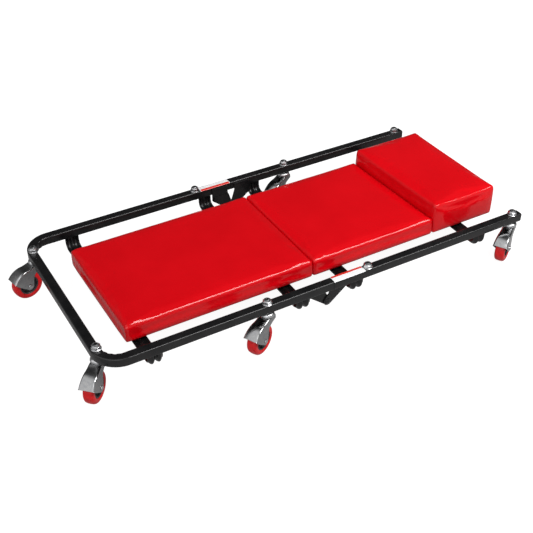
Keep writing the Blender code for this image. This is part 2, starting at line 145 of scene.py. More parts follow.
def texture(nodes, links, kind, scale, stretch=(1, 1, 1), **settings):
    """A procedural texture in object space, scaled in cycles a metre."""
    place = nodes.new("ShaderNodeTexCoord")
    mapping = nodes.new("ShaderNodeMapping")
    mapping.inputs["Scale"].default_value = [scale * s for s in stretch]
    links.new(place.outputs["Object"], mapping.inputs["Vector"])
    pattern = nodes.new(kind)
    pattern.inputs["Scale"].default_value = 1.0
    for name, value in settings.items():
        pattern.inputs[name.replace("_", " ")].default_value = value
    links.new(mapping.outputs["Vector"], pattern.inputs["Vector"])
    return pattern


def ramp(nodes, links, source, low, high, start=0.35, end=0.65):
    """The source's value spread between two colours or two numbers."""
    scale = nodes.new("ShaderNodeValToRGB")
    first, last = scale.color_ramp.elements
    first.position, last.position = start, end
    first.color = (*low, 1) if isinstance(low, tuple) else (low, low, low, 1)
    last.color = (*high, 1) if isinstance(high, tuple) else (high, high, high, 1)
    links.new(source, scale.inputs["Fac"])
    return scale.outputs["Color"]


def relief(nodes, links, shader, *layers):
    """Bump from (height output, distance in metres, strength) layers, one over the other."""
    below = None
    for height, distance, strength in layers:
        bump = nodes.new("ShaderNodeBump")
        bump.inputs["Distance"].default_value = distance
        bump.inputs["Strength"].default_value = strength
        links.new(height, bump.inputs["Height"])
        if below:
            links.new(below, bump.inputs["Normal"])
        below = bump.outputs["Normal"]
    links.new(below, shader.inputs["Normal"])


def black_paint():
    finish, nodes, links, shader = plain("gloss_black_paint", (0.006, 0.006, 0.0065), 0.2)
    cloud = texture(nodes, links, "ShaderNodeTexNoise", 35, Detail=5.0, Roughness=0.6)
    links.new(ramp(nodes, links, cloud.outputs["Fac"], (0.005, 0.005, 0.0055), (0.010, 0.0095, 0.010)),
              shader.inputs["Base Color"])
    links.new(ramp(nodes, links, cloud.outputs["Fac"], 0.16, 0.30), shader.inputs["Roughness"])
    peel = texture(nodes, links, "ShaderNodeTexNoise", 420, Detail=2.0)
    relief(nodes, links, shader, (peel.outputs["Fac"], 0.0003, 0.06))
    return finish


def zinc(name, shade, low, high):
    finish, nodes, links, shader = plain(name, (shade, shade, shade * 1.02), low, 1.0)
    cloud = texture(nodes, links, "ShaderNodeTexNoise", 160, Detail=6.0, Roughness=0.65)
    links.new(ramp(nodes, links, cloud.outputs["Fac"], low, high), shader.inputs["Roughness"])
    dull = (shade * 0.80, shade * 0.81, shade * 0.84)
    links.new(ramp(nodes, links, cloud.outputs["Fac"], dull, (shade, shade, shade)),
              shader.inputs["Base Color"])
    spots = texture(nodes, links, "ShaderNodeTexNoise", 900, Detail=3.0)
    relief(nodes, links, shader, (spots.outputs["Fac"], 0.0002, 0.08))
    return finish


def vinyl():
    """Smooth upholstery vinyl: faint leather print, slow waves from the foam, uneven gloss."""
    finish, nodes, links, shader = plain("red_vinyl", (0.64, 0.0012, 0.005), 0.15)
    cloud = texture(nodes, links, "ShaderNodeTexNoise", 9, Detail=4.0, Roughness=0.55)
    links.new(ramp(nodes, links, cloud.outputs["Fac"], (0.61, 0.0009, 0.0045), (0.66, 0.0014, 0.0055)),
              shader.inputs["Base Color"])
    links.new(ramp(nodes, links, cloud.outputs["Fac"], 0.12, 0.18), shader.inputs["Roughness"])
    shader.inputs["Specular IOR Level"].default_value = 0.38
    pores = texture(nodes, links, "ShaderNodeTexVoronoi", 900)
    waves = texture(nodes, links, "ShaderNodeTexNoise", 22, Detail=2.0)
    relief(nodes, links, shader, (waves.outputs["Fac"], 0.004, 0.12),
           (pores.outputs["Distance"], 0.0003, 0.10))
    return finish


def polyurethane():
    finish, nodes, links, shader = plain("red_polyurethane", (0.62, 0.006, 0.008), 0.3)
    cloud = texture(nodes, links, "ShaderNodeTexNoise", 90, Detail=5.0)
    links.new(ramp(nodes, links, cloud.outputs["Fac"], (0.52, 0.004, 0.007), (0.68, 0.008, 0.010)),
              shader.inputs["Base Color"])
    links.new(ramp(nodes, links, cloud.outputs["Fac"], 0.24, 0.42), shader.inputs["Roughness"])
    shader.inputs["Specular IOR Level"].default_value = 0.35
    scuffs = texture(nodes, links, "ShaderNodeTexNoise", 300, (1, 1, 3), Detail=4.0)
    relief(nodes, links, shader, (scuffs.outputs["Fac"], 0.0006, 0.12))
    return finish


def moulded(name, colour, roughness):
    finish, nodes, links, shader = plain(name, colour, roughness)
    speck = texture(nodes, links, "ShaderNodeTexNoise", 1400, Detail=2.0)
    links.new(ramp(nodes, links, speck.outputs["Fac"], roughness - 0.08, roughness + 0.08),
              shader.inputs["Roughness"])
    relief(nodes, links, shader, (speck.outputs["Fac"], 0.0002, 0.15))
    return finish


def plywood():
    finish, nodes, links, shader = plain("plywood", (0.5, 0.34, 0.19), 0.62)
    grain = texture(nodes, links, "ShaderNodeTexNoise", 14, (1, 16, 4), Detail=8.0, Roughness=0.62,
                    Distortion=0.6)
    links.new(ramp(nodes, links, grain.outputs["Fac"], (0.33, 0.19, 0.09), (0.62, 0.44, 0.26), 0.3, 0.7),
              shader.inputs["Base Color"])
    relief(nodes, links, shader, (grain.outputs["Fac"], 0.0006, 0.35))
    return finish


def label_stock(name, colour):
    finish, nodes, links, shader = plain(name, colour, 0.3)
    crease = texture(nodes, links, "ShaderNodeTexNoise", 120, Detail=3.0)
    links.new(ramp(nodes, links, crease.outputs["Fac"], 0.24, 0.38), shader.inputs["Roughness"])
    relief(nodes, links, shader, (crease.outputs["Fac"], 0.0003, 0.1))
    return finish


BLACK = black_paint()
ZINC = zinc("bright_zinc", 0.66, 0.16, 0.32)
# the forks' zinc, made darker than the bright zinc: painted shade, so that their cheeks don't mirror the
# bright floor at full strength
SHADED_ZINC = zinc("zinc_with_painted_shade", 0.44, 0.10, 0.22)
DARK_STEEL = zinc("oiled_steel", 0.16, 0.28, 0.45)
VINYL = vinyl()
TYRE = polyurethane()
HUB = moulded("hub_plastic", (0.028, 0.028, 0.030), 0.42)
PLUG = moulded("plug_plastic", (0.016, 0.016, 0.017), 0.45)
NYLON = moulded("nylon_ring", (0.30, 0.31, 0.33), 0.4)
PLYWOOD = plywood()
WHITE = label_stock("white_label", (0.86, 0.86, 0.87))
STRIPE = label_stock("red_stripe", (0.66, 0.03, 0.02))
stage()


# ---- mesh helpers -----------------------------------------------------------------------------
def skin(loops, caps=True):
    """A mesh through equal closed loops of points; caps closes the first and the last."""
    count = len(loops[0])
    form = bmesh.new()
    rows = [[form.verts.new(point) for point in loop] for loop in loops]
    for above, below in zip(rows, rows[1:]):
        for i in range(count):
            j = (i + 1) % count
            form.faces.new((above[i], above[j], below[j], below[i]))
    if caps:
        form.faces.new(rows[0])
        form.faces.new(rows[-1])
    return as_mesh(form)


def as_mesh(form):
    bmesh.ops.remove_doubles(form, verts=form.verts, dist=1e-6)
    bmesh.ops.recalc_face_normals(form, faces=form.faces)
    mesh = bpy.data.meshes.new("piece")
    form.to_mesh(mesh)
    form.free()
    return mesh


def lathe(profile, steps=48, turn=None):
    """A profile of (radius, height) points turned about Z; a closed profile makes a ring."""
    loops = [[Vector((r * cos(2 * pi * i / steps), r * sin(2 * pi * i / steps), z))
              for i in range(steps)] for r, z in profile]
    mesh = skin(loops, caps=False)
    if turn:
        mesh.transform(turn)
    return mesh


def smoothed(profile, rounds=2):
    """Corner cutting, which keeps the ends of an open profile where they are."""
    for _ in range(rounds):
        result = [profile[0]]
        for a, b in zip(profile, profile[1:]):
            result.append(tuple(0.75 * p + 0.25 * q for p, q in zip(a, b)))
            result.append(tuple(0.25 * p + 0.75 * q for p, q in zip(a, b)))
        profile = result + [profile[-1]]
    return profile


def arc(cx, cy, radius, start, end, steps):
    turn = [radians(start + (end - start) * i / steps) for i in range(steps + 1)]
    return [(cx + radius * cos(a), cy + radius * sin(a)) for a in turn]


def extruded(outline, low, high):
    """An outline in X and Z, given thickness from low to high along Y."""
    form = bmesh.new()
    face = form.faces.new([form.verts.new((x, low, z)) for x, z in outline])
    pulled = bmesh.ops.extrude_face_region(form, geom=[face])["geom"]
    bmesh.ops.translate(form, vec=(0, high - low, 0),
                        verts=[v for v in pulled if isinstance(v, bmesh.types.BMVert)])
    return as_mesh(form)


def with_modifiers(mesh, add):
    """The mesh after the modifiers that add puts on a temporary object."""
    holder = bpy.data.objects.new("holder", mesh)
    bpy.context.scene.collection.objects.link(holder)
    tools = add(holder) or []
    bpy.context.view_layer.update()
    result = bpy.data.meshes.new_from_object(
        holder.evaluated_get(bpy.context.evaluated_depsgraph_get()))
    for used in [holder, *tools]:
        bpy.data.objects.remove(used)
    return result


def boolean(mesh, operation, *others):
    def add(holder):
        tools = []
        for other in others:
            tool = bpy.data.objects.new("tool", other)
            bpy.context.scene.collection.objects.link(tool)
            step = holder.modifiers.new("step", "BOOLEAN")
            step.operation = operation
            step.object = tool
            tools.append(tool)
        return tools
    return with_modifiers(mesh, add)


def bevelled(mesh, width, segments=2, angle=30):
    def add(holder):
        step = holder.modifiers.new("bevel", "BEVEL")
        step.width = width
        step.segments = segments
        step.limit_method = "ANGLE"
        step.angle_limit = radians(angle)
    return with_modifiers(mesh, add)


def piece(name, mesh, finish, slot, body, replaces=(), matrix=None, sharp=32):
    mesh = mesh.copy()
    mesh.name = name
    if matrix:
        mesh.transform(matrix)
    mesh.materials.clear()
    mesh.materials.append(finish)
    mesh.shade_smooth()
    mesh.set_sharp_from_angle(angle=radians(sharp))
    obj = bpy.data.objects.new(name, mesh)
    bpy.context.scene.collection.objects.link(obj)
    if replaces:
        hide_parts(*replaces)
    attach(obj, body)
    return obj


# ---- square tube --------------------------------------------------------------------------------
TUBE_CORNER = 2.8 * MM
WALL = 1.5 * MM
HOLLOW = 22 * MM                   # how deep the open ends are shown
BEND_R = 48 * MM                   # centre line radius of the two foot corners
PUCKERS = 5                        # folds pressed into the inner wall of each bend
tube_low, tube_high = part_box("foot_frame_tube")
TUBE = tube_high.z - tube_low.z
RAIL_Y = tube_high.y - TUBE / 2
RAIL_Z = tube_low.z + TUBE / 2


def square(half, corner, steps=5):
    signs = ((1, 1), (-1, 1), (-1, -1), (1, -1))
    return [point for turn, (sx, sy) in enumerate(signs)
            for point in arc(sx * (half - corner), sy * (half - corner), corner,
                             90 * turn, 90 * turn + 90, steps)]


def carried(path, binormal, section, shape=None):
    """Loops of the section at each path point; u points to the path's side, v along binormal."""
    loops = []
    for i, point in enumerate(path):
        before, after = path[max(i - 1, 0)], path[min(i + 1, len(path) - 1)]
        side = binormal.cross((after - before).normalized()).normalized()
        outline = [shape(i, u, v) for u, v in section] if shape else section
        loops.append([point + side * u + binormal * v for u, v in outline])
    return loops


def hollow_end(loop, inner, inward):
    """Loops that turn an end loop into the mouth of a tube, deepest first."""
    return [[point + inward * HOLLOW for point in inner], inner, loop]


def square_tube(path, open_start, open_end, shape=None):
    outer, inside = square(TUBE / 2, TUBE_CORNER), square(TUBE / 2 - WALL, TUBE_CORNER - WALL)
    loops = carried(path, UP, outer, shape)
    start_in = (path[1] - path[0]).normalized()
    end_in = (path[-2] - path[-1]).normalized()
    inner = carried(path, UP, inside)
    if open_start:
        loops = hollow_end(loops[0], inner[0], start_in) + loops[1:]
    if open_end:
        loops = loops[:-1] + hollow_end(loops[-1], inner[-1], end_in)[::-1]
    return skin(loops)


def foot_tube():
    """The U-bent tube. In its two bends the inner wall puckers and the tube flattens a little."""
    straight, bend = 14, 26
    end_x = tube_low.x + TUBE / 2
    centre_x, centre_y = end_x + BEND_R, RAIL_Y - BEND_R
    leg = [(tube_high.x + (centre_x - tube_high.x) * i / straight, RAIL_Y) for i in range(straight)]
    far = arc(centre_x, centre_y, BEND_R, 90, 180, bend)
    near = [(x, -y) for x, y in reversed(far)]
    outline = leg + far + near + [(x, -y) for x, y in reversed(leg)]
    path = [Vector((x, y, RAIL_Z)) for x, y in outline]
    bends = ((straight, straight + bend), (straight + bend + 1, straight + 2 * bend + 1))

    def shape(i, u, v):
        for first, last in bends:
            if first < i < last:
                along = (i - first) / bend
                swell = sin(pi * along)
                inner = max(0.0, u / (TUBE / 2))
                pucker = 0.9 * MM * swell * sin(PUCKERS * 2 * pi * along) * inner ** 2
                hollow = 1.2 * MM * swell * inner * (1 - abs(v) / TUBE)
                crush = 1.1 * MM * swell * inner
                return u - pucker - hollow, v * (1 - crush / (TUBE / 2))
        return u, v

    return square_tube(path, True, True, shape)


def frame_tubes():
    piece("foot_tube", foot_tube(), BLACK, "gloss_black", BODY_OF["foot_frame_tube"],
          ["foot_frame_tube"], sharp=50)
    for side in ("near", "far"):
        node = f"head_rail_{side}"
        low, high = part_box(node)
        middle = (low.y + high.y) / 2
        path = [Vector((low.x + (high.x - low.x) * i / 6, middle, RAIL_Z)) for i in range(7)]
        piece(f"{node}_tube", square_tube(path, True, True), BLACK, "gloss_black", BODY_OF[node],
              [node], sharp=50)
        face = high.x + 0.3 * MM
        rim = TUBE / 2 - 0.2 * MM
        depths = ((0, rim), (1.4 * MM, rim), (2.4 * MM, rim - 0.6 * MM), (3.1 * MM, rim - 2 * MM),
                  (3.5 * MM, rim - 5 * MM))
        loops = [[Vector((face + x, middle + u, RAIL_Z + v)) for u, v in square(half, TUBE_CORNER)]
                 for x, half in depths]
        piece(f"rail_plug_{side}", skin(loops), PLUG, "plug_black", BODY_OF[node],
              [f"rail_end_plug_{side}"], sharp=60)


# ---- crossbars ----------------------------------------------------------------------------------
SHEET = 2.2 * MM
RIB_DEPTH = 6.2 * MM
RIB_PITCH = 15 * MM
BEND_BAR = 13 * MM
BAR_END_Y = 220.5 * MM             # middle of the sheet where it stands up beside the rail
BAR_WEB_Z = 60 * MM                # top of the flat web, which carries the boards


def rib_height(x):
    """Depth of the two pressed ribs at this place across the bar."""
    depth = 0.0
    for middle in (-RIB_PITCH / 2, RIB_PITCH / 2):
        away = abs(x - middle) / (RIB_PITCH / 2 - 0.4 * MM)
        if away < 1:
            depth = RIB_DEPTH * (0.5 + 0.5 * cos(pi * away)) ** 0.7
    return depth


def crossbar(node):
    low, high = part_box(node)
    half = (high.x - low.x) / 2
    middle = (high.x + low.x) / 2
    across = [-half + 2 * half * i / 32 for i in range(33)]
    top = [(-rib_height(x), x) for x in across]
    bottom = [(-rib_height(x) - SHEET, x) for x in reversed(across)]
    flat_y, bend_z = BAR_END_Y - BEND_BAR, BAR_WEB_Z + BEND_BAR
    right = arc(flat_y, bend_z, BEND_BAR, 270, 360, 14) + [(BAR_END_Y, high.z)]
    left = [(-y, z) for y, z in reversed(right)]
    inner = [(-flat_y + 2 * flat_y * i / 8, BAR_WEB_Z) for i in range(1, 8)]
    path = [Vector((middle, y, z)) for y, z in left + inner + right]
    loops = carried(path, ALONG, top + bottom)
    piece(f"{node}_pressing", skin(loops), BLACK, "gloss_black", BODY_OF[node], [node], sharp=45)


# ---- hinge ----------------------------------------------------------------------------------------
def hinge_parts():
    for half in ("foot", "head"):
        for side in ("near", "far"):
            node = f"{half}_hinge_leaf_{side}"
            mesh = bevelled(bpy.data.objects[node].data.copy(), 0.9 * MM)
            piece(f"{node}_plate", mesh, BLACK, "gloss_black", BODY_OF[node], [node])
    for side in ("near", "far"):
        node = f"hinge_pin_{side}"
        low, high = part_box(node)
        reach = (high.y - low.y) / 2
        dome = [(0, reach), (2.6 * MM, reach - 0.2 * MM), (5 * MM, reach - 0.9 * MM),
                (6.8 * MM, reach - 2.2 * MM), (4 * MM, reach - 2.5 * MM)]
        profile = dome + [(r, -h) for r, h in reversed(dome)]
        middle = (low + high) / 2
        turn = Matrix.Translation(middle) @ Matrix.Rotation(pi / 2, 4, "X")
        piece(f"{node}_rivet", lathe(profile, 40), BLACK, "gloss_black", BODY_OF[node], [node], turn)


# ---- fasteners ------------------------------------------------------------------------------------
STEM_R = 5 * MM
GAP = 0.2 * MM
NUT_SEAT = RAIL_Z + TUBE / 2 + GAP
TIP_TOP = NUT_SEAT + 11.2 * MM     # how far the threaded stems stand up through their nuts


def threaded(radius, low, high, pitch=1.5 * MM):
    """Profile of a thread's crests and roots, from the top down."""
    profile = [(0, high), (radius - 1.2 * MM, high), (radius, high - 1.2 * MM)]
    z = high - 1.2 * MM
    while z - pitch > low:
        profile += [(radius - 0.55 * MM, z - pitch * 0.5), (radius, z - pitch)]
        z -= pitch
    return profile + [(radius, low)]


def nut_meshes(seat):
    """Washer, chamfered hexagon and the collar with its nylon ring."""
    washer = lathe([(5.4 * MM, seat), (5.4 * MM, seat + 1.5 * MM), (10.1 * MM, seat + 1.5 * MM),
                    (10.6 * MM, seat + 1.1 * MM), (10.6 * MM, seat + 0.2 * MM), (5.4 * MM, seat)])
    base, top = seat + 1.5 * MM, seat + 7.4 * MM
    prism = [[Vector((9.8 * MM * cos(pi * i / 3), 9.8 * MM * sin(pi * i / 3), z)) for i in range(6)]
             for z in (base, top)]
    cone = lathe([(0, base - MM), (8.6 * MM, base - MM), (8.6 * MM, base), (9.9 * MM, base + 1.0 * MM),
                  (9.9 * MM, top - 1.2 * MM), (8.3 * MM, top), (8.3 * MM, top + MM), (0, top + MM)])
    bore = lathe([(0, base - 2 * MM), (5.2 * MM, base - 2 * MM), (5.2 * MM, top + 2 * MM),
                  (0, top + 2 * MM)], 32)
    hexagon = boolean(boolean(skin(prism), "INTERSECT", cone), "DIFFERENCE", bore)
    collar = lathe([(5.6 * MM, top - 0.5 * MM), (7.9 * MM, top - 0.5 * MM), (7.7 * MM, top + 1.0 * MM),
                    (7.1 * MM, top + 1.9 * MM), (6.2 * MM, top + 2.2 * MM), (5.6 * MM, top + 1.9 * MM),
                    (5.6 * MM, top - 0.5 * MM)])
    ring = lathe([(5.1 * MM, top), (5.5 * MM, top), (5.5 * MM, top + 1.6 * MM), (5.1 * MM, top + 1.6 * MM),
                  (5.1 * MM, top)], 32)
    return washer, hexagon, collar, ring


def merged(*meshes):
    form = bmesh.new()
    for mesh in meshes:
        form.from_mesh(mesh)
    result = bpy.data.meshes.new("merged")
    form.to_mesh(result)
    form.free()
    return result


# ---- casters --------------------------------------------------------------------------------------
CASTERS = ("foot_near", "foot_far", "mid_near", "mid_far", "head_near", "head_far")
WHEEL_R = 33.5 * MM
TYRE_HALF = 11.5 * MM
TRAIL = 27.6 * MM
HOOD_R = 39.4 * MM
FORK_SHEET = 2.0 * MM
FORK_TOP = 77.2 * MM
NECK_HALF = 12.4 * MM              # half width of the fork's crown
CHEEK_HALF = 15.5 * MM             # ... of its cheeks at the axle
TAIL_HALF = 17.2 * MM              # ... of its hood's rear edge
RIVET_HOLE_R = 4.4 * MM
HUB_RIBS = 8
ON_AXLE = Matrix.Rotation(pi / 2, 4, "X")


def tyre_mesh():
    half = TYRE_HALF
    upper = [(21.8 * MM, half - 1.2 * MM), (22.6 * MM, half - 0.5 * MM), (27 * MM, half),
             (30 * MM, half - 0.7 * MM), (32.2 * MM, half - 2.6 * MM), (33.2 * MM, half - 5.6 * MM),
             (WHEEL_R, 0.5 * MM)]
    upper = smoothed(upper)
    return lathe(upper + [(r, -h) for r, h in reversed(upper)] + upper[:1], 72, ON_AXLE)


def hub_mesh():
    """Dark moulded hub: boss, dished web with eight ribs, and the rim under the tyre."""
    half = TYRE_HALF + 0.6 * MM
    upper = [(4.3 * MM, half), (8.6 * MM, half), (9.2 * MM, half - 0.6 * MM), (9.6 * MM, 5.2 * MM),
             (10.4 * MM, 4.6 * MM), (17.2 * MM, 4.6 * MM), (18 * MM, 5.2 * MM),
             (18.6 * MM, half - 2.8 * MM), (19.2 * MM, half - 2.2 * MM), (21.4 * MM, half - 2.2 * MM),
             (21.6 * MM, half - 2.6 * MM)]
    disc = lathe(upper + [(r, -h) for r, h in reversed(upper)] + upper[:1], 60)
    ribs = []
    for i in range(HUB_RIBS):
        angle = 2 * pi * i / HUB_RIBS
        rib = extruded([(9.4 * MM, -8.2 * MM), (18.8 * MM, -7.4 * MM), (18.8 * MM, 7.4 * MM),
                        (9.4 * MM, 8.2 * MM)], -0.9 * MM, 0.9 * MM)
        rib.transform(Matrix.Rotation(angle, 4, "Z"))
        ribs.append(rib)
    mesh = merged(disc, *ribs)
    mesh.transform(ON_AXLE)
    return mesh


def fork_slice(hood, foot, half_hood, half_foot):
    """One slice of the folded sheet: up one cheek, over the hood and down the other cheek."""
    run = Vector(foot) - Vector(hood)
    depth = run.length
    down = run / depth

    def face(inset):
        radius = min(4.4 * MM, 0.8 * depth) - inset * 0.8
        lift = min(inset, 0.5 * depth)
        bend = arc(half_hood - inset - radius, lift + radius, radius, 0, -90, 7)
        last = bend[0]
        side = [(half_foot - inset + (last[0] - half_foot + inset) * i / 6,
                 depth + (last[1] - depth) * i / 6) for i in range(6)] + bend
        return side + [(-y, drop) for y, drop in reversed(side)]

    outline = face(0.0) + face(FORK_SHEET)[::-1]
    return [Vector((hood[0] + down.x * drop, y, hood[1] + down.y * drop)) for y, drop in outline]


def fork_mesh():
    """Pressed fork: narrow neck, hood that flares over the back of the wheel, cheeks down to the axle."""
    axle = (TRAIL, WHEEL_R)
    top = FORK_TOP
    ridge = smoothed([(-12.6 * MM, top - 0.8 * MM), (-6 * MM, top), (6 * MM, top), (13 * MM, top - 0.7 * MM),
                      (19.5 * MM, top - 2.8 * MM)] + arc(*axle, HOOD_R, 90, 30, 8), 2)
    edge = smoothed([(-12.6 * MM, 66.5 * MM), (-6 * MM, 65.2 * MM), (4 * MM, 61.8 * MM),
                     (11.4 * MM, 57 * MM), (15.8 * MM, 50 * MM)] + arc(*axle, 8.8 * MM, 176, 322, 6)
                    + [(47 * MM, 38.5 * MM), (60 * MM, 50.2 * MM)], 2)
    loops = []
    for i, (upper, lower) in enumerate(zip(ridge, edge)):
        along = i / (len(ridge) - 1)
        half = NECK_HALF + (TAIL_HALF - NECK_HALF) * along ** 1.2
        over_axle = max(0.0, 1 - abs(along - 0.6) / 0.34) ** 0.5
        loops.append(fork_slice(upper, lower, half, half + (CHEEK_HALF - half) * over_axle))
    rivet_hole = lathe([(0, top - 9 * MM), (RIVET_HOLE_R, top - 9 * MM), (RIVET_HOLE_R, top + 9 * MM),
                        (0, top + 9 * MM)], 32)
    return boolean(bevelled(skin(loops), 0.5 * MM, 2, 50), "DIFFERENCE", rivet_hole)


def axle_mesh():
    out = 15.7 * MM
    dome = smoothed([(0, out + 2.4 * MM), (2.4 * MM, out + 2.2 * MM), (4.6 * MM, out + 1.3 * MM),
                     (5.0 * MM, out), (3.8 * MM, out)], 1)
    return lathe(dome + [(r, -h) for r, h in reversed(dome)], 32, ON_AXLE)


def cup_mesh():
    """Upper ball race: domed cup under the rail, groove, and the rivet below it."""
    seat = RAIL_Z - TUBE / 2 - 0.3 * MM
    profile = [(0, seat), (8 * MM, seat), (11.5 * MM, seat - 0.4 * MM), (13.4 * MM, seat - 1.6 * MM),
               (14.4 * MM, seat - 3.2 * MM), (15 * MM, seat - 5.4 * MM), (15 * MM, seat - 6.6 * MM),
               (14.4 * MM, seat - 7.4 * MM), (12.8 * MM, seat - 7.7 * MM), (4 * MM, seat - 7.7 * MM),
               (4 * MM, seat - 10.8 * MM), (6.8 * MM, seat - 10.9 * MM), (6 * MM, seat - 12.8 * MM),
               (3 * MM, seat - 13.6 * MM), (0, seat - 13.7 * MM)]
    return lathe(profile, 48)


def casters():
    tyre, hub, fork, axle, cup = tyre_mesh(), hub_mesh(), fork_mesh(), axle_mesh(), cup_mesh()
    washer, hexagon, collar, ring = nut_meshes(NUT_SEAT)
    tip = lathe(threaded(STEM_R, NUT_SEAT - MM, TIP_TOP), 28)
    for i, name in enumerate(CASTERS):
        stem = Vector(JOINT[f"{name}_swivel"]["pos_m"])
        wheel = Vector(JOINT[f"{name}_wheel_spin"]["pos_m"])
        heading = atan2(wheel.y - stem.y, wheel.x - stem.x)
        here = Matrix.Translation((stem.x, stem.y, 0))
        turned = here @ Matrix.Rotation(heading, 4, "Z")
        hubbed = Matrix.Translation(wheel) @ Matrix.Rotation(heading, 4, "Z")
        swivel, spin = BODY_OF[f"{name}_fork"], BODY_OF[f"{name}_tyre"]
        mount = BODY_OF[f"{name}_caster_stem"]
        rolled = Matrix.Rotation(0.35 * i, 4, "Y")
        piece(f"{name}_tyre_ring", tyre, TYRE, "tyre_red", spin, [f"{name}_tyre"], hubbed)
        piece(f"{name}_wheel_centre", hub, HUB, "hub_dark", spin, [f"{name}_hub"], hubbed @ rolled)
        piece(f"{name}_fork_pressing", fork, SHADED_ZINC, "bright_zinc", swivel, [f"{name}_fork"], turned, 40)
        piece(f"{name}_axle_rivet", axle, ZINC, "bright_zinc", swivel, [f"{name}_axle_bolt"], hubbed)
        piece(f"{name}_race_cup", cup, ZINC, "bright_zinc", mount, [f"{name}_caster_stem"], here)
        piece(f"{name}_stem_tip", tip, DARK_STEEL, "bright_zinc", mount, (), here)
        nut_turn = here @ Matrix.Rotation(0.5 * i + 0.2, 4, "Z")
        piece(f"{name}_washer", washer, ZINC, "bright_zinc", mount, (), here)
        piece(f"{name}_nut", hexagon, ZINC, "bright_zinc", mount, [f"{name}_lock_nut"], nut_turn, 25)
        piece(f"{name}_nut_collar", collar, ZINC, "bright_zinc", mount, (), here)
        piece(f"{name}_nylon_ring", ring, NYLON, "plug_black", mount, (), here)


def plate_bolts():
    under = RAIL_Z - TUBE / 2 - GAP
    washer, hexagon, collar, ring = nut_meshes(NUT_SEAT)
    tip = lathe(threaded(STEM_R, NUT_SEAT - MM, TIP_TOP), 28)
    head = lathe(smoothed([(0, under - 3.6 * MM), (4 * MM, under - 3.2 * MM), (6.8 * MM, under - 1.6 * MM),
                           (7.2 * MM, under), (0, under)], 1), 32)
    for half in ("foot", "head"):
        node = f"{half}_plate_bolt"
        low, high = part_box(node)
        here = Matrix.Translation(((low.x + high.x) / 2, (low.y + high.y) / 2, 0))
        body = BODY_OF[node]
        piece(f"{half}_bolt_nut", hexagon, ZINC, "bright_zinc", body, [node], here, 25)
        piece(f"{half}_bolt_washer", washer, ZINC, "bright_zinc", body, (), here)
        piece(f"{half}_bolt_collar", collar, ZINC, "bright_zinc", body, (), here)
        piece(f"{half}_bolt_nylon", ring, NYLON, "plug_black", body, (), here)
        piece(f"{half}_bolt_tip", tip, DARK_STEEL, "bright_zinc", body, (), here)
        piece(f"{half}_bolt_head", head, ZINC, "bright_zinc", body, (), here)


# ---- boards, screws and labels ----------------------------------------------------------------------
SCREW_Y = 90 * MM
SCREW_Z = 55 * MM                  # lowest point of the heads, which sit under the crossbars' web
STRIPE_FROM = 3.4 * MM             # from the rail's middle to the edge of the red stripe


def boards():
    head = lathe([(0, 0), (3 * MM, 0.2 * MM), (4.2 * MM, 1.6 * MM), (4.4 * MM, 3 * MM), (0, 3 * MM)], 24)
    for half in ("foot", "head"):
        node = f"{half}_board"
        mesh = bevelled(bpy.data.objects[node].data.copy(), 1.2 * MM)
        piece(f"{half}_plywood", mesh, PLYWOOD, "plywood", BODY_OF[node], [node])
        for where in ("hinge", "end"):
            low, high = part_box(f"{half}_crossbar_{where}")
            for i, y in enumerate((-SCREW_Y, SCREW_Y)):
                here = Matrix.Translation(((low.x + high.x) / 2, y, SCREW_Z))
                piece(f"{half}_{where}_screw_{i + 1}", head, ZINC, "bright_zinc", BODY_OF[node], (), here)


def labels():
    """Plain strips stuck over the rail's top face, with a red stripe along the inner edge."""
    over = [(u, v) for u, v in square(TUBE / 2, TUBE_CORNER, 6) if v > TUBE / 2 - 2.0 * MM]
    over.sort()
    for half in ("foot", "head"):
        node = f"{half}_label_strip"
        low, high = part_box(node)
        middle = (low.y + high.y) / 2
        inward = -1 if middle > 0 else 1
        for name, finish, slot, lift, kept in (
                ("strip", WHITE, "label_white", 0.35 * MM, over),
                ("stripe", STRIPE, "tyre_red", 0.55 * MM,
                 [(u, v) for u, v in over if u * inward > STRIPE_FROM])):
            if name == "stripe":
                kept = sorted(kept + [(STRIPE_FROM * inward, TUBE / 2)])
            scale = 1 + lift / (TUBE / 2)
            inset = 0.0 if name == "strip" else 1.2 * MM
            upper = [(u * scale, v * scale) for u, v in kept]
            lower = [(u * 0.999, v * 0.999) for u, v in reversed(kept)]
            loops = [[Vector((x, middle + u, RAIL_Z + v)) for u, v in upper + lower]
                     for x in (low.x + inset, high.x - inset)]
            replaces = [node] if name == "strip" else ()
            piece(f"{half}_label_{name}", skin(loops), finish, slot, BODY_OF[node], replaces)


# ---- cushions -----------------------------------------------------------------------------------------
VOXEL = 4.0 * MM
PRESSURE = 4.0
LAST_FRAME = 20
CORNER = 6.5 * MM                  # rounding of the cage's upright edges
SOFT_EDGE = 5.5 * MM               # ... of its top edges
HELD = 3 * MM                      # height of the lowest strip, which is stapled to the board
TUCK = 1.6 * MM                    # how far the skin is drawn in along its lower edge
RIPPLE = 0.35 * MM                 # height of the puckers near the edges
PLAY = 0.15 * MM                   # how far two cushions that meet may reach past their ends
SWELL = 2.4 * MM                   # how far the filling may push the cover out
FREE = 1.2 * MM                    # how far the cage of a free side stands out from its cushion
PRESSED = 2.6 * MM                 # ... of an end that is pressed flat against the next cushion
UPRIGHT = -0.4 * MM                # ... of an end that stands above the next cushion
SKEW = 12 * MM                     # how far the headrest's seam runs askew, towards the foot at its far end


